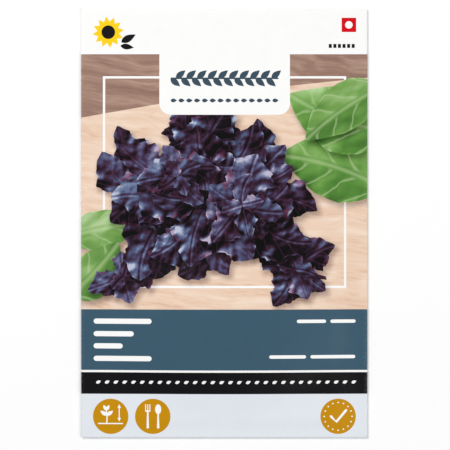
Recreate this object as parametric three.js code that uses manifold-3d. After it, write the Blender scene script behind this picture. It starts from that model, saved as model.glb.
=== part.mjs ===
// A sealed paper seed packet lying on its back with its printed front up.
// One sheet of paper is folded into a flat envelope: the front panel, a back panel that wraps
// round from the left edge, a narrow glue strip tucked in at the right edge, and a top and a
// bottom flap folded over the back. Inside lies a heat-sealed sachet of two webs with the seeds.
// X runs across the packet, Y towards its top edge and Z out of its front.
import * as THREE from 'three';
import { mergeVertices } from 'three/addons/utils/BufferGeometryUtils.js';
import Module from 'manifold-3d';

const wasm = await Module();
wasm.setup();

// Driving dimensions in millimetres
const packetWidth = 80;
const packetHeight = 120;
const paperThickness = 0.15;
const glueBite = 0.02; // how far glued plies press into each other
const edgeRoom = 0.27; // free height between the plies along the folded edges
const glueStripWidth = 11;
const topFlapLength = 18;
const bottomFlapLength = 14;
const flapTaper = 3; // how much narrower a flap's free edge is on each side
const cornerRelief = 0.7; // the flaps' folds stop this far short of the side edges

const sachetWidth = 54;
const sachetHeight = 80;
const sachetCentreY = -13;
const webThickness = 0.12;
const webGap = 0.15; // between the two webs along their seals
const clearance = 0.2; // between the sachet and the paper round it

const heapCentreY = -31;
const heapRadiusX = 14.5;
const heapRadiusY = 11.5;
const heapHeight = 1.65;
const heapEdgeHeight = 0.45;
const seedLength = 2.0;
const seedWidth = 1.3;
const seedDepth = 1.0;
const seedSpacing = 2.25;

// Heights of the plies, worked out from the back upwards
const backBottom = paperThickness - glueBite;
const stripBottom = backBottom + paperThickness - glueBite;
const frontInner = stripBottom + paperThickness + edgeRoom;
const frontOuter = frontInner + paperThickness;
const sachetBottom = backBottom + paperThickness + clearance;
const heapBottom = sachetBottom + webThickness + webGap;
const sachetSealTop = heapBottom + webThickness;
const sachetRise = sachetSealTop + clearance - frontInner;
const heapRise = heapHeight + clearance;

// Where the front panel swells over the sachet and, more, over the seeds
const sachetLiftX = { none: 38.5, full: 28.5 };
const sachetLiftBottom = { none: -58.5, full: -54 };
const sachetLiftTop = { none: 45, full: 28 };
const frontMound = { radiusX: 36, radiusY: 25, power: 3 };
const pocketMound = { radiusX: 22, radiusY: 18.5, power: 4 };

const foldSteps = 6; // flat facets round each folded edge
const frontColumns = 20;

const rightFoldRadius = (frontOuter - stripBottom) / 2;
const leftFoldRadius = (frontOuter - backBottom) / 2;
const endFoldRadius = frontOuter / 2;
const sleeveEnd = packetHeight / 2 - cornerRelief;

// Evenly spaced numbers from start to end, both included
function spread(start, end, steps) {
  return Array.from({ length: steps + 1 }, (_, i) => start + ((end - start) * i) / steps);
}

// 0 where value is at none, 1 at full and beyond it, with a soft step between
function softStep(value, { none, full }) {
  const t = THREE.MathUtils.clamp((value - none) / (full - none), 0, 1);
  return t * t * (3 - 2 * t);
}

// A smooth mound over an ellipse, 1 at its centre and level with its surroundings at the rim
function mound(x, y, { radiusX, radiusY, power }) {
  const reach = Math.min(1, Math.hypot(x / radiusX, (y - heapCentreY) / radiusY));
  return (1 - reach ** power) ** 2;
}

// How far the front panel stands above its height at the edges
function frontRise(x, y) {
  const across = softStep(Math.abs(x), sachetLiftX);
  const along = softStep(y, sachetLiftBottom) * softStep(y, sachetLiftTop);
  return sachetRise * across * along + heapRise * mound(x, y, frontMound);
}

// A closed thin sheet: pointAt(column, row, face) gives the corner points of its outer face (1)
// and inner face (0), and the rim joins the two faces all round
function sheetGeometry(columns, rows, pointAt) {
  const positions = [];
  const index = [];
  const vertex = (column, row, face) => (row * columns + column) * 2 + face;
  const quad = (a, b, c, d) => index.push(a, b, c, a, c, d);

  for (let row = 0; row < rows; row++) {
    for (let column = 0; column < columns; column++) {
      positions.push(...pointAt(column, row, 0), ...pointAt(column, row, 1));
    }
  }
  for (let row = 0; row < rows - 1; row++) {
    for (let column = 0; column < columns - 1; column++) {
      const corners = [[0, 0], [1, 0], [1, 1], [0, 1]];
      const [a, b, c, d] = corners.map(([dc, dr]) => vertex(column + dc, row + dr, 1));
      const [e, f, g, h] = corners.map(([dc, dr]) => vertex(column + dc, row + dr, 0));
      quad(a, b, c, d);
      index.push(e, g, f, e, h, g);
    }
  }
  const lastRow = rows - 1;
  const lastColumn = columns - 1;
  for (let column = 0; column < lastColumn; column++) {
    const next = column + 1;
    quad(vertex(column, 0, 0), vertex(next, 0, 0), vertex(next, 0, 1), vertex(column, 0, 1));
    quad(
      vertex(next, lastRow, 0),
      vertex(column, lastRow, 0),
      vertex(column, lastRow, 1),
      vertex(next, lastRow, 1),
    );
  }
  for (let row = 0; row < lastRow; row++) {
    const next = row + 1;
    quad(vertex(0, next, 0), vertex(0, row, 0), vertex(0, row, 1), vertex(0, next, 1));
    quad(
      vertex(lastColumn, row, 0),
      vertex(lastColumn, next, 0),
      vertex(lastColumn, next, 1),
      vertex(lastColumn, row, 1),
    );
  }
  const geometry = new THREE.BufferGeometry();
  geometry.setAttribute('position', new THREE.Float32BufferAttribute(positions, 3));
  geometry.setIndex(index);
  return geometry;
}

// Points round a half-circle fold, from its lower ply up to its upper one, bulging to the given
// side. Each entry holds the outer and the inner point of the paper as [across, height].
function foldProfile(side, centreAcross, centreHeight, radius) {
  return spread(-Math.PI / 2, Math.PI / 2, foldSteps).map((angle) => {
    const across = side * Math.cos(angle);
    const height = Math.sin(angle);
    const at = (r) => [centreAcross + across * r, centreHeight + height * r];
    return { outer: at(radius), inner: at(radius - paperThickness) };
  });
}

// A point on a level ply of paper whose outer face looks down or up
function flatPly(across, bottom, faceDown) {
  const low = [across, bottom];
  const high = [across, bottom + paperThickness];
  return faceDown ? { outer: low, inner: high } : { outer: high, inner: low };
}

// A three.js geometry as a solid that can be joined to others
function solidFrom(geometry) {
  const bare = geometry.clone();
  bare.deleteAttribute('normal');
  bare.deleteAttribute('uv');
  const merged = mergeVertices(bare);
  const mesh = new wasm.Mesh({
    numProp: 3,
    vertProperties: new Float32Array(merged.attributes.position.array),
    triVerts: new Uint32Array(merged.index.array),
  });
  return new wasm.Manifold(mesh);
}

function geometryFrom(solid) {
  const mesh = solid.getMesh();
  const geometry = new THREE.BufferGeometry();
  geometry.setAttribute('position', new THREE.BufferAttribute(mesh.vertProperties, 3));
  geometry.setIndex(new THREE.BufferAttribute(mesh.triVerts, 1));
  return geometry;
}

function namedMesh(name, geometry, color, roughness, metalness) {
  geometry.computeVertexNormals();
  const material = new THREE.MeshStandardMaterial({ color, roughness, metalness });
  const mesh = new THREE.Mesh(geometry, material);
  mesh.name = name;
  return mesh;
}

// Most of the back panel, the left fold, front panel, right fold and glue strip in one sweep
function sleeveGeometry() {
  const rightFoldX = packetWidth / 2 - rightFoldRadius;
  const leftFoldX = -(packetWidth / 2 - leftFoldRadius);
  const rightFold = foldProfile(1, rightFoldX, frontOuter - rightFoldRadius, rightFoldRadius);
  const leftFold = foldProfile(-1, leftFoldX, frontOuter - leftFoldRadius, leftFoldRadius);
  const frontAcross = spread(leftFoldX, rightFoldX, frontColumns).slice(1, -1);
  const profile = [
    flatPly(packetWidth / 4, backBottom, true),
    ...leftFold,
    ...frontAcross.map((x) => flatPly(x, frontInner, false)),
    ...rightFold.reverse(),
    flatPly(packetWidth / 2 - glueStripWidth, stripBottom, true),
  ];
  const rows = [
    -sleeveEnd,
    sachetLiftBottom.none,
    (sachetLiftBottom.none + sachetLiftBottom.full) / 2,
    ...spread(sachetLiftBottom.full, heapCentreY + frontMound.radiusY, 12),
    ...spread(heapCentreY + frontMound.radiusY, sachetLiftTop.none, 8).slice(1),
    sleeveEnd,
  ];
  return sheetGeometry(profile.length, rows.length, (column, row, face) => {
    const { outer, inner } = profile[column];
    const [x, z] = face === 1 ? outer : inner;
    const onFront = z > frontInner - glueBite;
    return [x, rows[row], onFront ? z + frontRise(x, rows[row]) : z];
  });
}

// The rest of the back panel, which runs over the glue strip to its free edge at the right
function backOverlapGeometry() {
  const left = packetWidth / 4 - 1;
  const right = packetWidth / 2 - cornerRelief;
  const box = new THREE.BoxGeometry(right - left, 2 * sleeveEnd, paperThickness);
  return box.translate((left + right) / 2, 0, backBottom + paperThickness / 2);
}

// A flap with its fold: end is 1 at the packet's top edge and -1 at its bottom edge
function flapGeometry(end, flapLength) {
  const foldY = packetHeight / 2 - endFoldRadius;
  const lap = 1; // how far the flap's paper runs on into the front panel
  const fold = foldProfile(1, foldY, endFoldRadius, endFoldRadius);
  const profile = [
    flatPly(foldY - flapLength, 0, true),
    ...fold,
    flatPly(foldY - lap, frontInner, false),
  ];
  const foldHalfWidth = packetWidth / 2 - cornerRelief;
  return sheetGeometry(profile.length, 2, (column, row, face) => {
    const { outer, inner } = profile[column];
    const [y, z] = face === 1 ? outer : inner;
    const halfWidth = column === 0 ? foldHalfWidth - flapTaper : foldHalfWidth;
    const side = row === 0 ? -1 : 1;
    return [side * end * halfWidth, end * y, z];
  });
}

function envelope() {
  const pieces = [
    sleeveGeometry(),
    backOverlapGeometry(),
    flapGeometry(1, topFlapLength),
    flapGeometry(-1, bottomFlapLength),
  ];
  const solid = wasm.Manifold.union(pieces.map(solidFrom));
  return namedMesh('envelope', geometryFrom(solid), 0xdcd9d6, 0.55, 0);
}

// One web of the sachet, in the sachet's own place: flat at the seals, domed over the seeds
function sachetWeb(name, bottom, domed) {
  const halfWidth = sachetWidth / 2;
  const lowY = sachetCentreY - sachetHeight / 2;
  const highY = sachetCentreY + sachetHeight / 2;
  const moundLow = heapCentreY - pocketMound.radiusY;
  const moundHigh = heapCentreY + pocketMound.radiusY;
  const across = domed ? spread(-halfWidth, halfWidth, 24) : [-halfWidth, halfWidth];
  const along = domed ? [lowY, ...spread(moundLow, moundHigh, 16), highY] : [lowY, highY];
  const geometry = sheetGeometry(across.length, along.length, (column, row, face) => {
    const x = across[column];
    const y = along[row];
    const rise = domed ? heapRise * mound(x, y, pocketMound) : 0;
    return [x, y, rise + face * webThickness];
  });
  const mesh = namedMesh(name, geometry, 0xc9ccd0, 0.35, 0.6);
  mesh.position.z = bottom;
  return mesh;
}

// A small repeatable stream of random numbers from 0 to 1
function randomStream(seed) {
  let state = seed;
  return () => {
    state = (state + 0x6d2b79f5) | 0;
    let t = Math.imul(state ^ (state >>> 15), 1 | state);
    t = (t + Math.imul(t ^ (t >>> 7), 61 | t)) ^ t;
    return ((t ^ (t >>> 14)) >>> 0) / 4294967296;
  };
}

// Height of the packed seeds at a place in the heap, before the loose top layer
function heapTop(x, y) {
  const reach = Math.min(1, Math.hypot(x / heapRadiusX, y / heapRadiusY));
  const crown = heapHeight - seedDepth / 2 - heapEdgeHeight;
  return heapEdgeHeight + crown * (1 - reach ** 2);
}

// Places for the loose seeds on top of the heap, each kept clear of those before it
function seedPlaces(random) {
  const places = [];
  const tries = 6000;
  for (let i = 0; i < tries; i++) {
    const x = (2 * random() - 1) * heapRadiusX;
    const y = (2 * random() - 1) * heapRadiusY;
    const inside = Math.hypot(x / heapRadiusX, y / heapRadiusY) < 1;
    const free = places.every(([px, py]) => Math.hypot(x - px, y - py) > seedSpacing);
    if (inside && free) places.push([x, y]);
  }
  return places;
}

// The heap: a low domed core with separate seeds lying half sunk all over it
function seeds() {
  const random = randomStream(7);
  const maxTilt = 0.35;
  const sink = 0.05;
  const coreShrink = 0.97;
  const crown = spread(1, 0, 6).map((r) => new THREE.Vector2(r, heapTop(r * heapRadiusX, 0)));
  const base = [new THREE.Vector2(0, 0), new THREE.Vector2(1, 0)];
  const core = new THREE.LatheGeometry([...base, ...crown], 28);
  core.rotateX(Math.PI / 2);
  core.scale(heapRadiusX * coreShrink, heapRadiusY * coreShrink, 1);

  const solids = [solidFrom(core)];
  for (const [x, y] of seedPlaces(random)) {
    const seed = new THREE.IcosahedronGeometry(1, 0);
    seed.scale(seedLength / 2, seedWidth / 2, seedDepth / 2);
    seed.rotateX(maxTilt * (2 * random() - 1));
    seed.rotateY((maxTilt / 2) * (2 * random() - 1));
    seed.rotateZ(Math.PI * random());
    seed.translate(x, y, Math.max(heapTop(x, y) - sink, seedDepth / 2 + sink));
    solids.push(solidFrom(seed));
  }
  const solid = wasm.Manifold.union(solids);
  const mesh = namedMesh('seeds', geometryFrom(solid), 0x1d1a1c, 0.6, 0);
  mesh.position.set(0, heapCentreY, heapBottom);
  return mesh;
}

const packet = new THREE.Group();
packet.add(
  envelope(),
  sachetWeb('sachet_back_web', sachetBottom, false),
  sachetWeb('sachet_front_web', heapBottom, true),
  seeds(),
);

export default packet;
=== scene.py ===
import math

import bmesh
import bpy
import numpy as np
from mathutils import Matrix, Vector
from mathutils.geometry import delaunay_2d_cdt


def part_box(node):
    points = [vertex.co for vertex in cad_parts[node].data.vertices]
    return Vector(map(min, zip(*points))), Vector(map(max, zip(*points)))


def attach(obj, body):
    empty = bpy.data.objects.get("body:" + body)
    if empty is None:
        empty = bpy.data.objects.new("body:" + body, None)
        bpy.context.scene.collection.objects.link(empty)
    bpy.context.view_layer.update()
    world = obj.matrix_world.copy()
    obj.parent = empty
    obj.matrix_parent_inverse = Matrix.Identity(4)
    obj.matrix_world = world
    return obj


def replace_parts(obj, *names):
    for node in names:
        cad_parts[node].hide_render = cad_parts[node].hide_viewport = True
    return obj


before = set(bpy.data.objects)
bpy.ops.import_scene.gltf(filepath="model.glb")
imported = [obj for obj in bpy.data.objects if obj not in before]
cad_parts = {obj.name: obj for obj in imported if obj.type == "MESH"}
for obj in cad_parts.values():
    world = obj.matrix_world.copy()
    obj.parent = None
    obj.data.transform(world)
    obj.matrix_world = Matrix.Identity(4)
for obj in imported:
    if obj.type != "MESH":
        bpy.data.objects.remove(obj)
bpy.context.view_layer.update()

# Sizes are in millimetres and scaled to metres where meshes are made. The packet's plies repeat
# the folded sheet's construction: flaps lowest, then the back panel, the glue strip and the front.
MM = 0.001
WIDTH, HEIGHT, TOP = ((high - low) / MM for low, high in zip(*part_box("envelope")))
PAPER = 0.15
GLUE_BITE = 0.02
EDGE_ROOM = 0.27
GLUE_STRIP = 11
TOP_FLAP = 18
BOTTOM_FLAP = 14
FLAP_TAPER = 3
RELIEF = 0.7
BACK_Z = PAPER - GLUE_BITE
STRIP_Z = BACK_Z + PAPER - GLUE_BITE
FRONT_Z = STRIP_Z + 2 * PAPER + EDGE_ROOM
LEFT_FOLD = (FRONT_Z - BACK_Z) / 2
RIGHT_FOLD = (FRONT_Z - STRIP_Z) / 2
END_FOLD = FRONT_Z / 2
LEFT_X = -WIDTH / 2 + LEFT_FOLD
RIGHT_X = WIDTH / 2 - RIGHT_FOLD
END_Y = HEIGHT / 2 - END_FOLD

# The swelling of the front over the sachet and over the heap of seeds, and the back's waves
HEAP_Y = -31
HEAP_RADII = (14.5, 11.5)
SACHET_LIFT = 0.39
HEAP_LIFT = TOP - FRONT_Z - SACHET_LIFT
MOUND_RADII = (36, 25)
COCKLE = 0.13

# Where the front's rise over the sachet starts at its sides and ends, and where it is full
RISE_SIDES = (38.5, 28.5)
RISE_BELOW = (-58.5, -54)
RISE_ABOVE = (45, 28)

WHITE = (247, 247, 246)
SLATE = (58, 88, 106)
BLACK = (12, 11, 15)
LAVENDER = (224, 229, 235)
OCHRE = (196, 139, 2)
RED = (211, 5, 22)
DARK_SLATE = (59, 77, 91)
YELLOW = (250, 208, 24)


def linear(color):
    """An 8-bit sRGB colour as linear red, green and blue."""
    c = np.array(color) / 255
    return tuple(np.where(c > 0.04045, ((c + 0.055) / 1.055) ** 2.4, c / 12.92))


def rgb(color):
    return (*linear(color), 1)


def place_object(name, data):
    made = bpy.data.objects.new(name, data)
    bpy.context.scene.collection.objects.link(made)
    return made


def soft_step(value, none, full):
    """0 where value is at none, 1 at full, with a soft step between."""
    t = np.clip((value - none) / (full - none), 0, 1)
    return t * t * (3 - 2 * t)


def page(x, y):
    """A place on the front, from millimetres right of its left and down from its top edge."""
    return np.array([x - WIDTH / 2, HEIGHT / 2 - y])


# Outlines, as arrays of points that run anticlockwise


def anticlockwise(points):
    p = np.asarray(points, float)
    x, y = p.T
    area = np.dot(x, np.roll(y, -1)) - np.dot(y, np.roll(x, -1))
    return p if area > 0 else p[::-1]


def aim(angle):
    """The unit vector at this angle in degrees."""
    return np.array([math.cos(math.radians(angle)), math.sin(math.radians(angle))])


def turned(x, y, c, s):
    """x and y in axes turned by the angle whose cosine and sine are c and s."""
    return x * c + y * s, y * c - x * s


def arc(centre, radius, start, end, steps):
    angles = np.radians(np.linspace(start, end, steps + 1))
    return centre + radius * np.stack([np.cos(angles), np.sin(angles)], 1)


def disc(centre, radius, steps=48):
    return arc(centre, radius, 0, 360, steps)[:-1]


def box(left, top, right, bottom, round_=0):
    """A rectangle on the page, with its corners rounded if asked."""
    (x0, y1), (x1, y0) = page(left, top), page(right, bottom)
    if not round_:
        return np.array([(x0, y0), (x1, y0), (x1, y1), (x0, y1)])
    r = round_
    x0, x1, y0, y1 = x0 + r, x1 - r, y0 + r, y1 - r
    corners = [(x0, y0, 180), (x1, y0, 270), (x1, y1, 0), (x0, y1, 90)]
    return np.concatenate([arc((x, y), r, a, a + 90, 6) for x, y, a in corners])


def stroke(points, widths):
    """The outline of a line of changing width with round ends."""
    p = np.asarray(points, float)
    w = np.broadcast_to(widths, len(p)) / 2
    along = np.gradient(p, axis=0)
    along /= np.linalg.norm(along, axis=1, keepdims=True)
    side = np.stack([-along[:, 1], along[:, 0]], 1) * w[:, None]
    first = math.degrees(math.atan2(along[0, 1], along[0, 0]))
    last = math.degrees(math.atan2(along[-1, 1], along[-1, 0]))
    start = arc(p[0], w[0], first + 90, first + 270, 6)
    end = arc(p[-1], w[-1], last - 90, last + 90, 6)
    return anticlockwise(np.concatenate([start, (p - side)[1:-1], end, (p + side)[-2:0:-1]]))


def petal(base, angle, length, width):
    """A pointed leaf or petal shape that grows from base."""
    u = np.linspace(0, 1, 13)
    half = width / 2 * np.sin(np.pi * u**0.8)
    right, left = np.stack([u * length, -half], 1), np.stack([u * length, half], 1)
    c, s = aim(angle)
    rim = np.concatenate([right, left[-2:0:-1]]) @ np.array([(c, s), (-s, c)])
    return anticlockwise(base + rim)


# The printed leaves. A leaf grows along an arc from its base; a place in it is its distance
# along the midrib and across it.

# Per kind: how deep its margin is lobed, and how fine its veins and puckers are
LEAF_KINDS = {"purple": (0.15, 0.75), "green": (0.02, 0.42), "stem": (0.04, 2.2)}
LOBES = ((1.0, 1.6), (0.75, 3.7), (0.35, 8.1), (0.16, 15.0))  # share and count along the leaf


class Leaf:
    def __init__(self, base, heading, length, width, bend, rng, kind, level):
        self.base = base
        self.heading = math.radians(heading)
        self.axis = math.cos(self.heading), math.sin(self.heading)
        self.length = length
        self.half = width / 2
        self.curve = math.radians(bend) / length
        self.kind = kind
        self.level = level
        self.lobed, self.fine = LEAF_KINDS[kind]
        self.sides = rng.uniform(0.62, 1, 2)
        self.phases = rng.uniform(0, 2 * math.pi, (2, len(LOBES)))
        self.seed = rng.uniform(0, 50)
        self.hue = rng.uniform()
        self.lean = rng.uniform(-1, 1, 2)
        self.curls = []
        if kind == "purple":
            for side in (0, 1, 0, 1):
                start, end = rng.uniform(0.1, 0.7) + np.array([0, rng.uniform(0.12, 0.3)])
                depth = rng.uniform(0.12, 0.32)
                if rng.uniform() < 0.45:
                    self.curls.append((side, start, end, depth))

    def reach(self, u, side):
        """Half width of the blade at u from base (0) to tip (1) on side 0 (right) or 1 (left)."""
        u = np.clip(u, 0, 1)
        body = 1 - 0.3 * u if self.kind == "stem" else np.sin(np.pi * u**0.8) ** 0.8
        lobes = 1.0
        for (share, count), phase in zip(LOBES, self.phases[side]):
            lobes = lobes + self.lobed * share * np.sin(2 * math.pi * count * u + phase)
        return self.half * self.sides[side] * body * lobes

    def point(self, along, across):
        """The page's points at these places in the leaf."""
        turn = self.curve * along
        if abs(self.curve) < 1e-5:
            x, y = along, np.zeros_like(along)
        else:
            x, y = np.sin(turn) / self.curve, (1 - np.cos(turn)) / self.curve
        x, y = x - across * np.sin(turn), y + across * np.cos(turn)
        c, s = self.axis
        return self.base + np.stack(turned(x, y, c, -s), -1)

    def place(self, points):
        """The places in the leaf of these points, and the leaf's direction at each."""
        x, y = turned(*(points - self.base).T, *self.axis)
        sign = 1 if self.curve >= 0 else -1
        radius = 1 / max(abs(self.curve), 1e-5)
        turn = np.arctan2(x, radius - sign * y)
        across = sign * (radius - np.hypot(x, radius - sign * y))
        return turn * radius, across, self.heading + sign * turn

    def outline(self):
        steps = max(10, int(self.length / 0.4))
        u = np.linspace(0, 1, steps + 1)
        right = self.point(u * self.length, -self.reach(u, 0))
        left = self.point(u * self.length, self.reach(u, 1))
        return anticlockwise(np.concatenate([right, left[-2:0:-1]]))

    def curl_outline(self, curl):
        """A stretch of the margin that rolls over and shows the leaf's underside."""
        side, start, end, depth = curl
        u = np.linspace(start, min(end, 0.97), 14)
        swell = np.maximum(np.sin(np.pi * (u - start) / (u[-1] - start)), 0) ** 0.8
        margin = self.reach(u, side)
        sign = -1 if side == 0 else 1
        outer = self.point(u * self.length, sign * margin * (1 - 0.04 * swell))
        inner = self.point(u * self.length, sign * margin * (0.97 - depth * swell))
        return anticlockwise(np.concatenate([outer, inner[-2:0:-1]]))


def shoot(centre, size, turn, tiers, level, rng):
    """Leaves of one shoot seen from its tip: crossed pairs, smaller and higher towards the middle."""
    leaves = []
    for tier in range(tiers):
        share = 1 - tier / tiers
        for half in (0, 180):
            heading = turn + 90 * (tier % 2) + half + 25 * (tier // 2) + rng.uniform(-22, 22)
            length = size * (0.25 + 0.75 * share) * rng.uniform(0.85, 1.12)
            width = length * rng.uniform(0.8, 1.0)
            bright = level + 0.3 * (1 - share) + rng.uniform(-0.3, 0.3)
            bend = rng.uniform(-50, 50)
            leaves.append(Leaf(centre, heading, length, width, bend, rng, "purple", bright))
    return leaves


def pile(rng):
    """Cut leaves in a loose pile, from its low outer ring to its top."""
    leaves = []
    for count, share, size, level in PILE_RINGS:
        for i in range(count):
            angle = 360 * (i + rng.uniform(-0.35, 0.35)) / count
            base = page(*PILE_CENTRE) + share * PILE_REACH * aim(angle)
            length = size * rng.uniform(0.8, 1.2)
            width = length * rng.uniform(0.75, 1.05)
            heading = angle + rng.uniform(-60, 60)
            bright = level + rng.uniform(-0.35, 0.35)
            bend = rng.uniform(-70, 70)
            leaves.append(Leaf(base, heading, length, width, bend, rng, "purple", bright))
    return leaves


# Printed regions in painter's order: what is listed later lies on top


def region(outline, color=WHITE, ink="flat", leaf=None, level=0.0):
    return {"outline": anticlockwise(outline), "color": color, "ink": ink, "leaf": leaf, "level": level}


def leaf_regions(leaves):
    found = []
    for leaf in leaves:
        ink = "underside" if leaf.kind == "stem" else leaf.kind
        found.append(region(leaf.outline(), ink=ink, leaf=leaf))
        for curl in leaf.curls:
            found.append(region(leaf.curl_outline(curl), ink="underside", leaf=leaf))
    return found


BLEED = 3
PICTURE = {"left": -BLEED, "top": 12.76, "right": WIDTH + BLEED, "bottom": 84.0}
FRAME_LINE = (6.1, 18.9, 74.07, 78.05)
FRAME_LINE_WIDTH = 0.65
TABLE_EDGE = ((WIDTH + BLEED, 19), (40, 23.5), (-BLEED, 31))

# Place on the page, heading, length and bend of green leaves and of purple stems
GREEN_LEAVES = (
    (84, 50, 150, 30, 25),
    (86, 34, 175, 30, -30),
    (84, 22, 205, 26, 20),
    (-4, 64, 20, 22, -20),
    (-3, 80, 40, 20, 15),
)
STEMS = ((52, 60, -35, 20, 12), (22, 64, 215, 15, -20), (60, 73, -20, 9, 10))

# Place, size, turn, number of leaf pairs and brightness of shoots beside the pile and on it
LOW_SHOOTS = ((60, 73, 13, 70, 4, 0.4), (12, 75, 11, 30, 3, 0.4))
TOP_SHOOTS = ((27, 47, 13, 20, 4, 0.55), (45, 55, 14, 60, 4, 0.55))

# Number of leaves, share of the pile's reach, length and brightness of each ring of the pile
PILE_RINGS = ((12, 0.6, 19, 0.25), (10, 0.4, 18, 0.4), (8, 0.22, 15, 0.5), (5, 0.06, 13, 0.55))
PILE_CENTRE = (35, 52)
PILE_REACH = np.array((25, 19))


def picture_regions():
    """The picture: a board, a thin white frame line and leaves of two kinds over them."""
    rng = np.random.default_rng(11)
    table = [(PICTURE["left"], PICTURE["top"]), (PICTURE["right"], PICTURE["top"]), *TABLE_EDGE]
    found = [region(box(**PICTURE), ink="wood")]
    found.append(region([page(*p) for p in table], ink="wood", level=1.0))

    left, top, right, bottom = FRAME_LINE
    wide = FRAME_LINE_WIDTH
    sides = [(left, top, left + wide, bottom), (right - wide, top, right, bottom)]
    ends = [(left, top, right, top + wide), (left, bottom - wide, right, bottom)]
    found += [region(box(*line)) for line in sides + ends]

    leaves = []
    for x, y, heading, length, bend in GREEN_LEAVES:
        bright = 0.5 + rng.uniform(-0.1, 0.1)
        leaves.append(Leaf(page(x, y), heading, length, length * 0.74, bend, rng, "green", bright))
    found += leaf_regions(leaves)

    dark = page(*PILE_CENTRE) + 0.7 * disc((0, 0), 1, 36) * PILE_REACH
    found.append(region(dark, color=(14, 8, 13)))
    leaves = []
    for x, y, heading, length, bend in STEMS:
        leaves.append(Leaf(page(x, y), heading, length, 1.5, bend, rng, "stem", 0.5))
    for x, y, *shape in LOW_SHOOTS:
        leaves += shoot(page(x, y), *shape, rng)
    leaves += pile(rng)
    for x, y, *shape in TOP_SHOOTS:
        leaves += shoot(page(x, y), *shape, rng)
    return found + leaf_regions(leaves)


BANDS = (
    (84.0, 100.95, SLATE),
    (100.95, 101.56, WHITE),
    (101.56, 107.6, BLACK),
    (107.6, HEIGHT + BLEED, LAVENDER),
)


def line(points, width, color=WHITE):
    return region(stroke([page(*p) for p in points], width), color=color)


def leaflet(x, y, angle, length, width, color=WHITE):
    return region(petal(page(x, y), angle, length, width), color=color)


def bar(left, right, middle, height, color=WHITE):
    return line([(left + height / 2, middle), (right - height / 2, middle)], height, color)


def whole_page(color):
    return region(box(-BLEED, -BLEED, WIDTH + BLEED, HEIGHT + BLEED), color=color)


def bands(left):
    """The coloured bands, from this place across the page to its right edge."""
    right = WIDTH + BLEED
    return [region(box(left, top, right, bottom), color=color) for top, bottom, color in BANDS]


def front_regions():
    found = [whole_page(WHITE)] + picture_regions()
    found.append(region(box(-BLEED, -BLEED, WIDTH + BLEED, PICTURE["top"])))
    found += [region(box(**TAB))] + bands(-BLEED)
    return found + tab_ornament() + band_marks() + badges(*FRONT_BADGES) + head_marks()


TAB = {"left": 21.87, "top": 10, "right": 58.36, "bottom": 29.7, "round_": 3.2}
GARLAND = {"left": 25.0, "right": 55.2, "middle": 19.5, "leaves": 20, "seeds": 14, "row": 25.7}


def tab_ornament():
    """A garland of leaves over a row of seeds."""
    left, right, middle, leaves, seeds, row = GARLAND.values()
    found = [bar(left, right, middle, 0.45, DARK_SLATE)]
    for i, x in enumerate(np.linspace(left, right - 2, leaves)):
        found.append(leaflet(x, middle, 40 if i % 2 else -40, 3.5, 1.7, DARK_SLATE))
    for x in np.linspace(left, right - 1.8, seeds):
        found.append(leaflet(x, row, 0, 1.8, 1.1, DARK_SLATE))
    return found


BOLD_BARS = ((3.5, 19.8, 87.3), (3.5, 14.8, 90.8), (3.5, 11.7, 94.2), (3.5, 19.8, 97.7))
THIN_BARS = ((60.2, 68.4, 87.3), (69.6, 76.7, 87.3), (52.5, 62.8, 97.2), (64, 76.6, 97.2))


def band_marks():
    """Plain bars on the slate band and a row of seeds along the black one."""
    found = [bar(*place, 1.45) for place in BOLD_BARS]
    found += [bar(*place, 0.95) for place in THIN_BARS]
    return found + [leaflet(4.2 + 2.46 * i, 104.6, 25, 1.5, 0.85) for i in range(30)]


def arrow_head(x, tip, back):
    return region([page(x, tip), page(x - 0.5, back), page(x + 0.5, back)])


def double_arrow(x, high, low):
    """An upright arrow with a head at each end."""
    ends = [arrow_head(x, high, high + 1), arrow_head(x, low, low - 1)]
    return [line([(x, high + 0.6), (x, low - 0.6)], 0.28)] + ends


def sprout(x, y):
    """A young plant on its ground line, with its height marked, round this place."""
    found = [line([(x - 3.4, y + 2), (x + 3.3, y + 2)], 0.35)]
    found.append(line([(x - 1.1, y + 2), (x - 1, y + 0.1), (x - 1.2, y - 1.7)], 0.35))
    found += [leaflet(x - 1.1, y - 0.3, a, 2.2, 1.1) for a in (35, 145)]
    found += [leaflet(x - 1.2, y - 1.7, a, 1.7, 0.9) for a in (60, 120)]
    return found + double_arrow(x + 2.4, y - 3.4, y + 1.4)


SPOON_BOWL = (0.85, 1.4)


def fork_and_spoon(x, y):
    found = [line([(x - 1.4, y - 1.5), (x - 1.4, y + 3.1)], [0.4, 0.7])]
    found.append(line([(x - 1.95, y - 1.5), (x - 0.85, y - 1.5)], 0.4))
    for dx in (-2, -1.4, -0.8):
        found.append(line([(x + dx, y - 3.3), (x + dx, y - 1.5)], 0.26))
    found.append(line([(x + 1.5, y - 1.3), (x + 1.5, y + 3.1)], [0.35, 0.7]))
    found.append(region(page(x + 1.5, y - 2) + disc((0, 0), 1, 24) * SPOON_BOWL))
    return found


def ring_and_tick(x, y):
    found = [region(disc(page(x, y) + 3.9 * aim(22.5 * i), 0.22, 10)) for i in range(16)]
    found.append(line([(x - 2, y), (x - 0.5, y + 1.5), (x + 2.2, y - 1.7)], 0.7))
    return found


def sun(x, y):
    found = [region(disc(page(x, y), 1.5, 24))]
    for i in range(10):
        ray = page(x, y) + np.outer((2.1, 3.2), aim(36 * i))
        found.append(region(stroke(ray, 0.35)))
    return found


def seed_depth(x, y):
    """A seed under the ground line, with its depth marked."""
    found = [line([(x - 3.2, y - 1.8), (x + 3.2, y - 1.8)], 0.35)]
    found.append(leaflet(x - 2.2, y + 1.8, 15, 2.2, 1.4))
    return found + double_arrow(x + 1.6, y - 1.4, y + 2.9)


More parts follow.
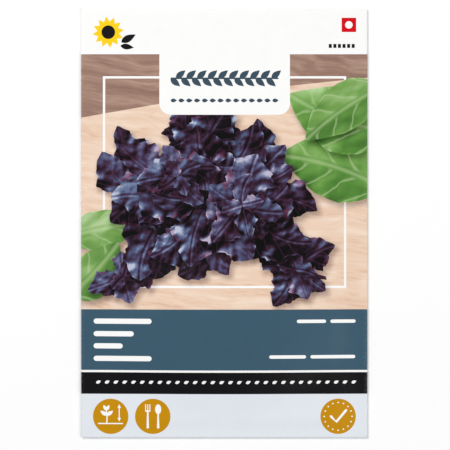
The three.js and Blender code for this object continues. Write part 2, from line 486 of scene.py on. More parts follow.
BADGE_RADIUS = 4.95
FRONT_BADGES = (HEIGHT - 6.1, (8.29, sprout), (20.05, fork_and_spoon), (71.8, ring_and_tick))
BACK_BADGES = (40, (12, sprout), (31, seed_depth), (50, sun), (69, fork_and_spoon))


def badges(y, *signs):
    """A row of ochre discs at this height on the page with a white sign on each."""
    found = []
    for x, sign in signs:
        found += [region(disc(page(x, y), BADGE_RADIUS), color=OCHRE)] + sign(x, y)
    return found


FLOWER = (7.6, 6.6)
SQUARE = {"left": 72.8, "top": 2.58, "right": 76.85, "bottom": 6.56}


def head_marks():
    """A plain flower with two leaves, a red square round a disc and a short row of dashes."""
    found = [leaflet(*FLOWER, 30 * i + 8, 4.4, 2.0, YELLOW) for i in range(12)]
    found.append(region(disc(page(*FLOWER), 1.9, 28), color=BLACK))
    found += [leaflet(11.2, 9.4, 28, 4.6, 2.0, BLACK), leaflet(11.0, 10.4, -8, 3.8, 1.6, BLACK)]
    found.append(region(box(**SQUARE), color=RED))
    found.append(region(disc(page(74.82, 4.57), 1.05, 24)))
    for left in 69.2 + 1.28 * np.arange(6):
        found.append(region(box(left, 9.9, left + 0.85, 11.0), color=BLACK))
    return found


# The back as seen from behind, with x from its own left edge

PALE_GREY = (176, 182, 188)
GREY = (120, 128, 136)
MONTHS = 12
CALENDAR = {"left": 6, "right": 74, "top": 50, "row": 4.2}
SEASONS = ((2, 5, (112, 152, 62)), (4, 7, OCHRE), (5, 10, (96, 58, 92)))


def calendar():
    """A sowing calendar: months across, with sowing, planting and cutting seasons filled."""
    left, right, top, row = CALENDAR.values()
    columns = np.linspace(left, right, MONTHS + 1)
    rows = top + row * np.arange(len(SEASONS) + 1)
    found = []
    for y, (start, end, color) in zip(rows, SEASONS):
        found.append(region(box(columns[start], y, columns[end], y + row), color=color))
    found += [line([(left, y), (right, y)], 0.25, DARK_SLATE) for y in rows]
    return found + [line([(x, top), (x, rows[-1])], 0.18, DARK_SLATE) for x in columns]


def small_print(rng):
    """Two columns of thin grey bars, as long as lines of small print."""
    found = []
    for left, right in ((6, 38), (42, 74)):
        for i in range(9):
            end = right - (rng.uniform(4, 20) if i in (3, 8) else rng.uniform(0, 2))
            found.append(bar(left, end, 67.5 + 2.4 * i, 0.85, GREY))
    return found


UPRIGHT_BARS = (7.0, 91.5, 31, 102.5)
STAMP_BOX = (42, 92, 74, 102)


def bar_pattern(rng):
    """Upright bars of changing width, and an outlined box for a date stamp, left empty."""
    found = []
    x, top, right, bottom = UPRIGHT_BARS
    while x < right:
        width = rng.choice((0.26, 0.26, 0.52, 0.8))
        found.append(region(box(x, top, x + width, bottom), color=BLACK))
        x += width + rng.choice((0.3, 0.3, 0.6))
    left, top, right, bottom = STAMP_BOX
    wide = 0.3
    found.append(region(box(*STAMP_BOX, 1.2), color=PALE_GREY))
    found.append(region(box(left + wide, top + wide, right - wide, bottom - wide, 1.0)))
    return found


WRAP = 1.5
TITLE_BAND = (-BLEED, 21, WIDTH + BLEED, 30.5)
TITLE_BARS = ((6, 34, 25.7, 2.2), (58, 74, 25.7, 1.1))


def back_regions():
    """The back's print. The front's bands run round the fold and end just past it."""
    rng = np.random.default_rng(3)
    found = [whole_page(WHITE), region(box(*TITLE_BAND), color=SLATE)]
    found += [bar(*place) for place in TITLE_BARS]
    found += badges(*BACK_BADGES) + calendar() + small_print(rng) + bar_pattern(rng)
    board = region(box(**{**PICTURE, "left": WIDTH - WRAP}), ink="wood")
    return found + [board] + bands(WIDTH - WRAP)


def flap_regions(color, middle):
    """A flap's plain ground with one row of seeds."""
    seeds = [leaflet(12 + 2.8 * i, middle, 0, 1.8, 1.1, DARK_SLATE) for i in range(20)]
    return [whole_page(color)] + seeds


# Materials


class Tree:
    """Short calls for building one node tree."""

    def __init__(self, tree):
        self.nodes, self.links = tree.nodes, tree.links

    def put(self, socket, value):
        if isinstance(value, bpy.types.NodeSocket):
            self.links.new(value, socket)
        elif value is not None:
            socket.default_value = value

    def node(self, kind, inputs=None, **settings):
        made = self.nodes.new("ShaderNode" + kind)
        for key, value in settings.items():
            setattr(made, key, value)
        for key, value in (inputs or {}).items():
            self.put(made.inputs[key], value)
        return made

    def math(self, operation, *values):
        return self.node("Math", dict(enumerate(values)), operation=operation).outputs[0]

    def plus(self, a, b):
        return self.math("ADD", a, b)

    def minus(self, a, b):
        return self.math("SUBTRACT", a, b)

    def times(self, a, b):
        return self.math("MULTIPLY", a, b)

    def vector(self, operation, *values):
        return self.node("VectorMath", dict(enumerate(values)), operation=operation).outputs[0]

    def scaled(self, vector, scale):
        return self.node("VectorMath", {"Vector": vector, "Scale": scale}, operation="SCALE").outputs[0]

    def noise(self, vector, scale, detail=2.0, rough=0.5):
        inputs = {"Vector": vector, "Scale": scale, "Detail": detail, "Roughness": rough}
        return self.node("TexNoise", inputs).outputs[0]

    def mix(self, share, a, b, blend="MIX"):
        made = self.node("Mix", data_type="RGBA", blend_type=blend, clamp_factor=True)
        for index, value in ((0, share), (6, a), (7, b)):
            self.put(made.inputs[index], value)
        return made.outputs[2]

    def step(self, value, none, full):
        inputs = {"Value": value, "From Min": none, "From Max": full}
        return self.node("MapRange", inputs, interpolation_type="SMOOTHSTEP").outputs[0]

    def attribute(self, name, output="Vector"):
        return self.node("Attribute", attribute_name=name).outputs[output]

    def split(self, vector):
        return self.node("SeparateXYZ", {"Vector": vector}).outputs

    def ramp(self, value, stops):
        made = self.node("ValToRGB", {"Fac": value})
        elements = made.color_ramp.elements
        while len(elements) < len(stops):
            elements.new(0.5)
        for element, (at, color) in zip(elements, stops):
            element.position, element.color = at, rgb(color)
        return made.outputs[0]

    def bump(self, height, strength, distance):
        inputs = {"Strength": strength, "Distance": distance * MM, "Height": height}
        return self.node("Bump", inputs).outputs[0]

    def surface(self, color, rough, normal=None, specular=0.5):
        inputs = {"Base Color": color, "Roughness": rough, "Normal": normal}
        shader = self.node("BsdfPrincipled", inputs)
        shader.inputs["Specular IOR Level"].default_value = specular
        self.put(self.node("OutputMaterial").inputs[0], shader.outputs[0])

    def millimetres(self):
        """The surface's place in the object, in millimetres."""
        return self.scaled(self.node("TexCoord").outputs["Object"], 1 / MM)


def start(name):
    material = bpy.data.materials.new(name)
    material.use_nodes = True
    material.node_tree.nodes.clear()
    return material, Tree(material.node_tree)


def shade(t, color, depth):
    """Darkens a printed colour by the shadow stored with its light."""
    dark = t.mix(1.0, color, rgb((92, 66, 70)), "MULTIPLY")
    return t.mix(t.times(t.split(t.attribute("leaf_light"))[2], depth), color, dark)


def finish_paper(t, color):
    """Coated paper under the ink: fine fibre in its colour, gloss and surface, and worn folds."""
    place = t.millimetres()
    fibre = t.noise(place, 5.0, 3.0, 0.6)
    cloud = t.noise(place, 0.35)
    tone = t.plus(t.plus(t.times(fibre, 0.05), t.times(cloud, 0.04)), 0.955)
    grey = t.node("CombineColor", {0: tone, 1: tone, 2: tone}).outputs[0]
    tinted = t.mix(1.0, color, grey, "MULTIPLY")
    scuff = t.step(t.noise(place, 2.2, 4.0, 0.7), 0.5, 0.66)
    worn = t.times(t.attribute("wear", "Fac"), scuff)
    tinted = t.mix(t.times(worn, 0.08), tinted, rgb((238, 236, 232)))
    rough = t.plus(t.plus(t.times(cloud, 0.1), 0.2), t.times(worn, 0.25))
    t.surface(tinted, rough, t.bump(fibre, 0.12, 0.02), 0.2)


def flat_ink():
    material, t = start("printed_flat_ink")
    finish_paper(t, shade(t, t.attribute("ink_color"), 0.55))
    return material


BOARD = [
    (0.3, (216, 180, 154)),
    (0.43, (231, 200, 176)),
    (0.55, (237, 211, 190)),
    (0.7, (242, 222, 204)),
]
TABLE = [(0.3, (134, 106, 94)), (0.5, (156, 124, 109)), (0.7, (182, 154, 138))]


def wood_ink():
    """A pale board with long grain, and the darker table behind it."""
    material, t = start("printed_wood")
    place = t.millimetres()
    turned = t.node("VectorRotate", {"Vector": place, "Angle": 0.12}, rotation_type="Z_AXIS").outputs[0]
    drift = t.node("TexNoise", {"Vector": place, "Scale": 0.05}).outputs[1]
    wavy = t.vector("ADD", turned, t.scaled(drift, 6.0))
    long_ = t.vector("MULTIPLY", wavy, (0.04, 0.55, 1.0))
    broad = t.noise(long_, 1.0, 4.0, 0.55)
    fine = t.noise(t.vector("MULTIPLY", wavy, (0.12, 3.2, 1.0)), 1.0, 3.0, 0.6)
    tone = t.plus(t.times(broad, 0.75), t.times(fine, 0.25))
    color = t.mix(t.split(t.attribute("leaf_tint"))[0], t.ramp(tone, BOARD), t.ramp(tone, TABLE))
    finish_paper(t, shade(t, color, 0.9))
    return material


def leaf_relief():
    """Node group: height of a leaf blade puckered between its veins, and its vein lines."""
    group = bpy.data.node_groups.new("leaf_relief", "ShaderNodeTree")
    group.interface.new_socket("Place", in_out="INPUT", socket_type="NodeSocketVector")
    for name in ("Height", "Vein"):
        group.interface.new_socket(name, in_out="OUTPUT", socket_type="NodeSocketFloat")
    t = Tree(group)
    place = group.nodes.new("NodeGroupInput").outputs[0]
    along, across, seed = t.split(place)
    aside = t.math("ABSOLUTE", across)
    wander = t.times(t.minus(t.noise(place, 0.35), 0.5), 1.8)
    phase = t.minus(t.plus(along, wander), t.times(aside, 0.8))
    pillow = t.minus(1.0, t.math("COSINE", t.times(phase, 2.1)))
    pillow = t.times(pillow, t.times(t.step(aside, 0.1, 1.6), 0.18))
    waves = t.plus(t.times(along, 1.7), t.times(seed, 9.0))
    waves = t.math("SINE", t.plus(waves, t.times(wander, 1.3)))
    frill = t.times(waves, t.times(t.step(aside, 1.0, 6.0), 1.1))
    midrib = t.step(aside, 0.45, 0.0)
    bulge = t.times(t.noise(place, 0.2), 4.2)
    fine = t.times(t.noise(place, 0.9, 3.0, 0.6), 0.6)
    height = t.plus(t.plus(pillow, frill), t.plus(bulge, fine))
    height = t.minus(height, t.times(midrib, 0.35))
    lateral = t.times(t.step(pillow, 0.02, 0.0), t.step(aside, 0.2, 0.8))
    vein = t.math("MAXIMUM", midrib, lateral)
    out = group.nodes.new("NodeGroupOutput")
    t.links.new(height, out.inputs[0])
    t.links.new(vein, out.inputs[1])
    return group


RELIEF_STEP = 0.3  # how far from a place in the blade its height is compared


def lit_blade(t, gain):
    """Painted light on a leaf: the slope of its relief towards the light, and its veins."""
    place, light = t.attribute("leaf_place"), t.attribute("leaf_light")
    towards = t.vector("MULTIPLY", light, (RELIEF_STEP, RELIEF_STEP, 0.0))
    heights = []
    for operation in ("ADD", "SUBTRACT"):
        sample = t.node("Group", node_tree=RELIEF_GROUP)
        t.links.new(t.vector(operation, place, towards), sample.inputs[0])
        heights.append(sample.outputs[0])
    slope = t.times(t.minus(heights[1], heights[0]), gain / (2 * RELIEF_STEP))
    here = t.node("Group", {0: place}, node_tree=RELIEF_GROUP)
    halves = t.times(t.split(place)[1], 1.6)
    halves = t.math("MINIMUM", t.math("MAXIMUM", halves, -1.0), 1.0)
    fold = t.times(halves, t.times(t.split(light)[1], 0.16))
    return t.plus(slope, fold), here.outputs[1]


PURPLES = [
    (0.0, (4, 3, 6)),
    (0.18, (16, 8, 17)),
    (0.36, (48, 27, 46)),
    (0.5, (62, 52, 80)),
    (0.66, (78, 93, 129)),
    (0.83, (116, 134, 166)),
    (1.0, (186, 198, 218)),
]
UNDERSIDES = [(0.0, (30, 10, 24)), (0.35, (78, 36, 60)), (0.65, (118, 76, 104)), (1.0, (176, 154, 186))]
GREENS = [
    (0.0, (44, 80, 34)),
    (0.35, (88, 134, 60)),
    (0.6, (122, 162, 88)),
    (0.82, (166, 194, 140)),
    (1.0, (208, 222, 190)),
]


def leaf_ink(name, stops, gain, base, warmth, vein_color, vein_share):
    """Ink of a printed leaf: stops is its colours from dark to light, gain how strongly its relief
    is lit, and base its darkest leaf's tone."""
    material, t = start("printed_" + name)
    slope, vein = lit_blade(t, gain)
    level, hue, edge = t.split(t.attribute("leaf_tint"))
    cloud = t.times(t.minus(t.noise(t.attribute("leaf_place"), 0.16, 1.0), 0.5), 0.9)
    tone = t.plus(t.plus(t.times(level, 0.4), base), t.plus(slope, cloud))
    patches = t.step(t.noise(t.millimetres(), 0.4), 0.45, 0.6)
    rim = t.times(t.step(edge, 0.88, 1.0), patches)
    tone = t.plus(tone, t.times(rim, 0.22))
    tone = t.minus(tone, t.times(t.split(t.attribute("leaf_light"))[2], 0.32))
    color = t.ramp(tone, stops)
    warm = t.mix(1.0, color, rgb(warmth), "MULTIPLY")
    color = t.mix(hue, color, warm)
    color = t.mix(t.times(vein, vein_share), color, rgb(vein_color))
    finish_paper(t, shade(t, color, 0.75))
    return material


RELIEF_GROUP = leaf_relief()
MATERIALS = {
    "flat": flat_ink(),
    "wood": wood_ink(),
    "green": leaf_ink("green_leaf", GREENS, 0.14, 0.36, (236, 255, 225), (176, 202, 146), 0.45),
    "purple": leaf_ink("purple_leaf", PURPLES, 0.36, 0.27, (255, 205, 215), (110, 66, 98), 0.15),
    "underside": leaf_ink("underside", UNDERSIDES, 0.3, 0.25, (235, 215, 235), (140, 92, 128), 0.2),
}


# The paper sheet: cut into printed triangles while flat, then folded into place


def dense(outline, step=0.9):
    """The outline with points added, so that no edge of it is longer than step."""
    points = []
    for a, b in zip(outline, np.roll(outline, -1, 0)):
        count = max(1, math.ceil(math.dist(a, b) / step))
        points += [a + (b - a) * i / count for i in range(count)]
    return np.array(points)


def partition(domain, regions, lines, dots):
    """Splits a flat outline into triangles that lie each in one top region."""
    coords, edges, faces = [], [], []

    def keep(points):
        start = len(coords)
        coords.extend((float(x), float(y)) for x, y in points)
        return list(range(start, len(coords)))

    for outline in [domain] + [r["outline"] for r in regions]:
        faces.append(keep(dense(outline)))
    for line in lines:
        ids = keep(line)
        edges.extend(zip(ids, ids[1:]))
    keep(dots)
    result = delaunay_2d_cdt([tuple(c) for c in coords], edges, faces, 0, 1e-4, True)
    verts, tris, owners = result[0], result[2], result[5]
    kept = [(t, max(o) - 1) for t, o in zip(tris, owners) if 0 in o and max(o) > 0]
    corners, top = (np.array(v) for v in zip(*kept))
    used, corners = np.unique(corners, return_inverse=True)
    return np.array([tuple(v) for v in verts])[used], corners.reshape(-1, 3), top


def distance_inside(points, outline):
    """Distance of points to an outline, negative inside it."""
    a = outline
    b = np.roll(outline, -1, 0)
    d = b - a
    w = points[:, None] - a
    t = np.clip((w * d).sum(2) / np.maximum((d * d).sum(1), 1e-12), 0, 1)
    near = np.hypot(*np.moveaxis(w - t[..., None] * d, 2, 0)).min(1)
    above = (w[..., 1] < 0) != (points[:, None, 1] < b[:, 1])
    with np.errstate(divide="ignore", invalid="ignore"):
        right = w[..., 0] < w[..., 1] * d[:, 0] / d[:, 1]
    inside = (above & right).sum(1) % 2 == 1
    return np.where(inside, -near, near)


SHADOW_SHIFT = np.array([0.7, -0.9])
SHADOW_SOFT = 1.5
SHADOW_DEPTH = 0.62
SUN = np.array([-0.55, 0.835])  # direction in the picture that its light comes from


def printed_shadow(points, order, regions):
    """How dark the picture's leaves make each corner of the regions under them, 0 to 1."""
    lit = np.ones(len(points))
    for index, r in enumerate(regions):
        if r["leaf"] is None or r["ink"] == "underside":
            continue
        outline = r["outline"] + SHADOW_SHIFT
        low, high = outline.min(0) - SHADOW_SOFT, outline.max(0) + SHADOW_SOFT
        other = np.array([under["leaf"] is not r["leaf"] for under in regions])
        near = (order < index) & other[order] & (points > low).all(1) & (points < high).all(1)
        if near.any():
            d = distance_inside(points[near], outline)
            lit[near] *= 1 - SHADOW_DEPTH * soft_step(d, SHADOW_SOFT, -0.8)
    return 1 - lit


LEAN = 0.3  # how much a leaf's brightness changes from one of its ends or sides to the other


def corner_looks(points, order, regions):
    """Per corner: place in the leaf, direction of its light with its shadow, and its tint."""
    place, light, tint = np.zeros((3, len(points), 3))
    light[:, 2] = printed_shadow(points, order, regions)
    for index, r in enumerate(regions):
        mine = order == index
        tint[mine, 0] = r["level"]
        leaf = r["leaf"]
        if leaf is None or not mine.any():
            continue
        along, across, angle = leaf.place(points[mine])
        u = along / leaf.length
        side = (across > 0).astype(int)
        reach = np.where(side, leaf.reach(u, 1), leaf.reach(u, 0))
        where = np.stack([along, across / leaf.sides[side]], 1) * leaf.fine
        place[mine] = np.column_stack([where, np.full(len(along), leaf.seed)])
        lean = leaf.lean[0] * (2 * u - 1) + leaf.lean[1] * across / leaf.half
        tint[mine, 0] = leaf.level + LEAN * lean
        light[mine, :2] = np.stack(turned(*SUN, np.cos(angle), np.sin(angle)), 1)
        tint[mine, 1] = leaf.hue
        tint[mine, 2] = np.clip(abs(across) / np.maximum(reach, 0.05), 0, 1)
    return place, light, tint


def two_sided(corners, count):
    """Faces of a sheet: its outer triangles, the same turned inward, and quads round its rim."""
    sides = {tuple(side) for i, j in ((0, 1), (1, 2), (2, 0)) for side in corners[:, [i, j]]}
    rim = np.array([(a, b) for a, b in sorted(sides) if (b, a) not in sides])
    quads = np.stack([rim[:, 1], rim[:, 0], rim[:, 0] + count, rim[:, 1] + count], 1)
    return [*corners.tolist(), *(corners[:, ::-1] + count).tolist(), *quads.tolist()]


def store(mesh, name, kind, domain, values):
    """Keeps values as an attribute of the mesh; elements past their end get zeros."""
    layer = mesh.attributes.new(name, kind, domain)
    data = np.zeros((len(layer.data), *values.shape[1:]), np.float32)
    data[: len(values)] = values
    layer.data.foreach_set("value" if kind == "FLOAT" else "vector", data.ravel())


def lay_out(mesh, flat, printed):
    """Texture places: the printed side flat over the page, all else small in its corner."""
    points = np.zeros(len(mesh.loops), int)
    mesh.loops.foreach_get("vertex_index", points)
    spread = (flat - flat.min(0)) / np.ptp(flat, axis=0)
    uv = spread[points % len(flat)] * 0.96
    uv[printed:] = uv[printed:] * 0.03 + 0.965
    layer = mesh.uv_layers.new(name="OFBake")
    layer.data.foreach_set("uv", uv.astype(np.float32).ravel())


def paper_piece(name, domain, regions, lines, dots, fold, wear=None):
    """A sheet of paper with its print: its outer face, its plain inner face and its cut edges."""
    flat, corners, top = partition(domain, regions, lines, dots)
    faces = two_sided(corners, len(flat))
    points = np.concatenate([fold(flat, False), fold(flat, True)])
    mesh = bpy.data.meshes.new(name)
    mesh.from_pydata((points * MM).tolist(), [], faces)

    looks = corner_looks(flat[corners].reshape(-1, 2), np.repeat(top, 3), regions)
    for key, values in zip(("leaf_place", "leaf_light", "leaf_tint"), looks):
        store(mesh, key, "FLOAT_VECTOR", "CORNER", values)
    colors = np.tile(linear(WHITE), (len(faces), 1))
    colors[: len(corners)] = np.array([linear(r["color"]) for r in regions])[top]
    store(mesh, "ink_color", "FLOAT_VECTOR", "FACE", colors)
    store(mesh, "wear", "FLOAT", "POINT", wear(flat) if wear else np.zeros(len(flat)))
    lay_out(mesh, flat, len(corners) * 3)

    inks = np.array([r["ink"] for r in regions])[top]
    used = ["flat"] + [ink for ink in MATERIALS if ink != "flat" and ink in inks]
    for ink in used:
        mesh.materials.append(MATERIALS[ink])
    slots = np.zeros(len(faces), int)
    slots[: len(corners)] = [used.index(ink) for ink in inks]
    mesh.polygons.foreach_set("material_index", slots)
    mesh.polygons.foreach_set("use_smooth", np.ones(len(faces), bool))
    mesh.update()
    mesh.set_sharp_from_angle(angle=math.radians(50))
    piece = place_object(name, mesh)
    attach(piece, "root")
    return piece


def heap_share(x, y, radii=HEAP_RADII):
    """Distance from the middle of the heap of seeds as a share of its radius there."""
    return np.hypot(x / radii[0], (y - HEAP_Y) / radii[1])


def front_rise(x, y):
    """How far the front swells above its height at the folded edges."""
    sachet = soft_step(abs(x), *RISE_SIDES) * soft_step(y, *RISE_BELOW) * soft_step(y, *RISE_ABOVE)
    reach = np.minimum(1, heap_share(x, y, MOUND_RADII))
    return SACHET_LIFT * sachet + HEAP_LIFT * (1 - reach**3) ** 2


def creases(x, y):
    """Fine buckles of the paper round the swelling, and the seeds felt through it, always inward."""
    rng = np.random.default_rng(5)
    depth = np.zeros_like(x)
    for _ in range(26):
        cx, cy = rng.uniform(-34, 34), rng.uniform(-52, 40)
        angle = math.atan2(cy - HEAP_Y, cx) + rng.uniform(-0.5, 0.5)
        along, across = turned(x - cx, y - cy, math.cos(angle), math.sin(angle))
        long_, wide = rng.uniform(5, 12), rng.uniform(1.2, 2.6)
        depth += rng.uniform(0.02, 0.06) * np.exp(-((along / long_) ** 2) - (across / wide) ** 2)
    felt = soft_step(heap_share(x, y), 1.05, 0.7)
    bumps = np.zeros_like(x)
    for _ in range(240):
        r, a = math.sqrt(rng.uniform()), rng.uniform(0, 2 * math.pi)
        cx, cy = r * HEAP_RADII[0] * math.cos(a), HEAP_Y + r * HEAP_RADII[1] * math.sin(a)
        bumps = np.maximum(bumps, np.exp(-((x - cx) ** 2 + (y - cy) ** 2) / 0.9))
    edge = np.minimum(WIDTH / 2 - abs(x), HEIGHT / 2 - abs(y))
    return -(depth + 0.07 * felt * (1 - bumps)) * soft_step(edge, 1.0, 6.0)


def fold_front(flat, inner):
    """Folds the flat sheet round the side and end edges; beyond the right fold runs the glue strip."""
    s, t = flat.T
    take = PAPER if inner else 0
    side = np.where(s > 0, RIGHT_FOLD, LEFT_FOLD)
    side_x = np.where(s > 0, RIGHT_X, -LEFT_X)
    a = np.maximum(abs(s) - side_x, 0) / side
    b = np.maximum(abs(t) - END_Y, 0) / END_FOLD
    strip = np.maximum(a - math.pi, 0) * side
    a = np.minimum(a, math.pi)
    turn = np.hypot(a, b)
    share = np.where(turn > 0, a / np.maximum(turn, 1e-9), 0) ** 2
    past_x = (side - take) * np.sin(turn) * np.sqrt(share)
    past_y = (END_FOLD - take) * np.sin(turn) * np.sqrt(1 - share) * (b > 0)
    x = np.sign(s) * (np.minimum(abs(s), side_x) + past_x - strip)
    y = np.sign(t) * (np.minimum(abs(t), END_Y) + past_y)
    radius = share * side + (1 - share) * END_FOLD - take
    z = FRONT_Z - take - radius * (1 - np.cos(turn))
    return np.stack([x, y, z + (turn == 0) * (front_rise(x, y) + creases(x, y))], 1)


def front_wear(flat):
    s, t = flat.T
    side = np.where(s > 0, RIGHT_FOLD, LEFT_FOLD)
    a = (abs(s) - np.where(s > 0, RIGHT_X, -LEFT_X)) / side
    b = (abs(t) - END_Y) / END_FOLD
    return np.maximum(*(soft_step(v, -1.2, 0.3) * soft_step(v, 3.2, 1.8) for v in (a, b)))


def front_domain():
    """The flat front with its fold strips, rounded corners and the tucked glue strip at the right."""
    end = END_FOLD * math.pi
    points = []
    for sx, sy in ((1, -1), (1, 1), (-1, 1), (-1, -1)):
        x0, fold = (RIGHT_X, RIGHT_FOLD) if sx > 0 else (-LEFT_X, LEFT_FOLD)
        side = x0 + fold * math.pi
        corner = arc((0, 0), 1, 0, 90, 6) * (fold * math.pi / 2, end / 2) + (x0, END_Y)
        rim = [(side, END_Y), *corner, (x0, END_Y + end)]
        if sx > 0:
            rim[:0] = [(side + GLUE_STRIP - fold, END_Y - 2.5), (side + 0.4, END_Y)]
        points += [(sx * x, sy * y) for x, y in rim][:: sx * sy]
    return anticlockwise(points)


def fold_lines(start, radius, sign, half, across):
    """Lines along a fold at even turns, so that it bends smoothly. across is True for the ends."""
    along = np.linspace(-half, half, int(half))
    turns = sign * (start + radius * np.linspace(0, math.pi, 9))
    return [[(v, at) if across else (at, v) for v in along] for at in turns]


def sow(low, high, step):
    """Staggered rows of dots between two corners."""
    x, y = np.meshgrid(np.arange(low[0], high[0], step), np.arange(low[1], high[1], step))
    x[::2] += step / 2
    return np.stack([x.ravel(), y.ravel()], 1)


def apart_from(dots, outlines, gap):
    """Drops dots that lie too close to the printed outlines' points."""
    cells = {(int(round(x / gap)), int(round(y / gap))) for o in outlines for x, y in dense(o)}
    near = [(dx, dy) for dx in (-1, 0, 1) for dy in (-1, 0, 1)]

    def free(x, y):
        i, j = int(round(x / gap)), int(round(y / gap))
        return not any((i + dx, j + dy) in cells for dx, dy in near)

    return np.array([d for d in dots if free(*d)])


def envelope_front():
    regions = front_regions()
    lines = []
    for sign in (-1, 1):
        lines += fold_lines(END_Y, END_FOLD, sign, RIGHT_X - 0.05, True)
    lines += fold_lines(RIGHT_X, RIGHT_FOLD, 1, END_Y - 0.05, False)
    lines += fold_lines(-LEFT_X, LEFT_FOLD, -1, END_Y - 0.05, False)
    low, high = (LEFT_X + 0.5, -END_Y + 0.5), (RIGHT_X - 0.5, END_Y - 0.5)
    wide, close = sow(low, high, 0.8), sow(low, high, 0.5)
    dots = np.concatenate([wide[heap_share(*wide.T) > 1.1], close[heap_share(*close.T) < 1.1]])
    dots = apart_from(dots, [r["outline"] for r in regions], 0.25)
    return paper_piece("envelope_front", front_domain(), regions, lines, dots, fold_front, front_wear)


def cockle(x, y):
    """The back panel's slight waves between its glued flaps, always inward."""
    waves = np.sin(x / 9 + np.sin(y / 13)) * np.sin(y / 11 + 0.8 * np.sin(x / 17 + 1))
    waves = waves + np.sin(x / 21 + y / 16)
    level = soft_step(abs(x), 38, 30) * soft_step(y, -44, -36) * soft_step(y, 40, 32)
    return COCKLE / 4 * (waves + 2) * level


def fold_back(flat, inner):
    """The back panel seen from behind."""
    x, y = -flat[:, 0], flat[:, 1]
    return np.stack([x, y, BACK_Z + (PAPER if inner else 0) + cockle(x, y)], 1)


def fold_flap(flat, inner):
    z = np.full(len(flat), PAPER if inner else 0.0)
    return np.stack([-flat[:, 0], flat[:, 1], z], 1)


def envelope_back():
    left, right, end = -(WIDTH / 2 - RELIEF), -LEFT_X, HEIGHT / 2 - RELIEF
    domain = np.array([(left, -end), (right, -end), (right, end), (left, end)])
    regions = back_regions()
    dots = sow((left + 1, -end + 1), (right - 1, end - 1), 2.0)
    dots = apart_from(dots, [r["outline"] for r in regions], 0.3)
    return paper_piece("envelope_back", domain, regions, [], dots, fold_back)


def envelope_flap(name, sign, length, color, middle):
    half = WIDTH / 2 - RELIEF
    near, far = sign * END_Y, sign * (END_Y - length)
    tip = half - FLAP_TAPER
    domain = anticlockwise([(-half, near), (half, near), (tip, far), (-tip, far)])
    return paper_piece(name, domain, flap_regions(color, middle), [], [], fold_flap)


for part in (
    envelope_front(),
    envelope_back(),
    envelope_flap("envelope_top_flap", 1, TOP_FLAP, WHITE, 9.5),
    envelope_flap("envelope_bottom_flap", -1, BOTTOM_FLAP, LAVENDER, 113),
):
    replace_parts(part, "envelope")

# Inside the envelope

FILM_SEAL = (22.0, 35.0)
FILM_MIDDLE = -13.0
SEED = (2.0, 1.3, 0.88)
HEAP_FLOOR = 0.75
HEAP_EDGE = 0.45
HEAP_CROWN = 0.7


def seed_coat():
    """Near-black brown seed skin with a fine pitted surface."""
    material, t = start("seed_coat")
    place = t.millimetres()
    pits = t.noise(place, 5.0, 3.0, 0.6)
    tone = t.plus(t.times(t.noise(place, 0.5), 0.7), t.times(pits, 0.3))
    color = t.ramp(tone, [(0.32, (20, 17, 16)), (0.5, (40, 33, 30)), (0.66, (78, 66, 56))])
    t.surface(color, 0.62, t.bump(pits, 0.5, 0.05))
    return material


def laminate():
    """Milky laminate with a crossed crimp in its sealed border and soft creases inside it, with painted
    shade along the creases.
    """
    material, t = start("sachet_laminate")
    place = t.millimetres()
    x, y, _ = t.split(place)
    past_x = t.minus(t.math("ABSOLUTE", x), FILM_SEAL[0])
    past_y = t.minus(t.math("ABSOLUTE", t.minus(y, FILM_MIDDLE)), FILM_SEAL[1])
    border = t.step(t.math("MAXIMUM", past_x, past_y), 0.0, 0.3)
    ridges = [t.math("SINE", t.times(t.math(op, x, y), 5.0)) for op in ("ADD", "SUBTRACT")]
    crimp = t.times(t.times(*ridges), border)
    crease = t.math("ABSOLUTE", t.minus(t.noise(place, 0.1, 1.2), 0.5))
    crease = t.step(crease, 0.022, 0.0)
    height = t.plus(t.times(crimp, 0.06), t.times(crease, 0.12))
    color = t.mix(t.times(border, 0.5), rgb((236, 237, 234)), rgb((218, 221, 222)))
    # Painted shade: the crease lines are tinted a little darker grey, over their bump relief.
    color = t.mix(t.times(crease, 0.6), color, rgb((222, 225, 224)))
    rough = t.plus(t.times(crease, 0.3), 0.25)
    t.surface(color, rough, t.bump(height, 0.8, 0.4))
    return material


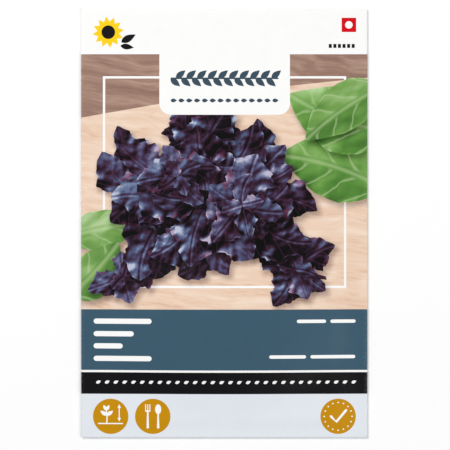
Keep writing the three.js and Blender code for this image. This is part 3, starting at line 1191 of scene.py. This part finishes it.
def seed_heap():
    """Separate seeds in two layers, the upper one heaped towards the middle."""
    rng = np.random.default_rng(8)
    ball = bmesh.new()
    bmesh.ops.create_icosphere(ball, subdivisions=2, radius=0.5)
    points = np.array([v.co for v in ball.verts])
    tris = np.array([[v.index for v in f.verts] for f in ball.faces])
    ball.free()
    taper = 1 - 0.3 * points[:, 0]
    points *= np.column_stack([np.ones(len(points)), taper, taper]) * SEED
    reach = np.array(HEAP_RADII)
    verts, faces = [], []
    for spacing, inside, crown in ((1.7, 0.95, 0), (1.6, 0.82, HEAP_CROWN)):
        for spot in sow(-reach, reach, spacing):
            spot = spot + rng.uniform(-0.3, 0.3, 2)
            share = math.hypot(*(spot / reach))
            if share > inside:
                continue
            turn = Matrix.Rotation(rng.uniform(0, 2 * math.pi), 3, "Z")
            turn = turn @ Matrix.Rotation(rng.uniform(-0.2, 0.2), 3, "Y")
            height = HEAP_FLOOR + HEAP_EDGE + crown * (1 - share**2)
            placed = points @ np.array(turn).T + (spot[0], spot[1] + HEAP_Y, height)
            faces += (tris + len(points) * len(verts)).tolist()
            verts.append(placed)
    mesh = bpy.data.meshes.new("seed_heap")
    mesh.from_pydata((np.concatenate(verts) * MM).tolist(), [], faces)
    mesh.polygons.foreach_set("use_smooth", np.ones(len(faces), bool))
    mesh.materials.append(seed_coat())
    piece = place_object("seed_heap", mesh)
    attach(piece, "root")
    return piece


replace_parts(seed_heap(), "seeds")
film = laminate()
for node in ("sachet_back_web", "sachet_front_web"):
    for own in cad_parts[node].material_slots:
        own.link = "OBJECT"
        own.material = film

# Stage, in millimetres but for the lamps and the floor's half width, which are in metres

FLOOR_GAP = 0.03
FRAME_WIDTH = 125.66
FRAME_CENTRE = (0.21, -0.47)
FRAME_LEVEL = 1


def stage():
    mesh = bpy.data.meshes.new("floor")
    half = 3.0
    corners = [(-half, -half, 0), (half, -half, 0), (half, half, 0), (-half, half, 0)]
    mesh.from_pydata(corners, [], [(0, 1, 2, 3)])
    floor = place_object("floor", mesh)
    floor.location.z = -FLOOR_GAP * MM
    material, t = start("floor")
    t.surface((0.96, 0.96, 0.96, 1), 0.9, specular=0.1)
    mesh.materials.append(material)


def lamp(name, place, size, power):
    data = bpy.data.lights.new(name, "AREA")
    data.size, data.energy = size, power
    made = place_object(name, data)
    made.location = place
    made.rotation_euler = (-made.location).to_track_quat("-Z", "Y").to_euler()


def camera():
    """Looks straight down from where the lens takes in FRAME_WIDTH."""
    data = bpy.data.cameras.new("camera")
    data.lens, data.sensor_width = 120, 36
    data.clip_start, data.clip_end = 0.01, 20
    made = place_object("camera", data)
    height = FRAME_LEVEL + FRAME_WIDTH * data.lens / data.sensor_width
    made.location = np.array((*FRAME_CENTRE, height)) * MM
    bpy.context.scene.camera = made


stage()
lamp("key", (-0.5, 0.45, 0.8), 0.5, 6.9)
lamp("fill", (0.6, -0.2, 0.7), 0.7, 3.6)
camera()
world = bpy.data.worlds.new("studio")
world.use_nodes = True
sky = world.node_tree.nodes["Background"].inputs
sky["Color"].default_value = (1, 1, 1, 1)
sky["Strength"].default_value = 0.33
bpy.context.scene.world = world
bpy.context.scene.view_settings.view_transform = "Standard"
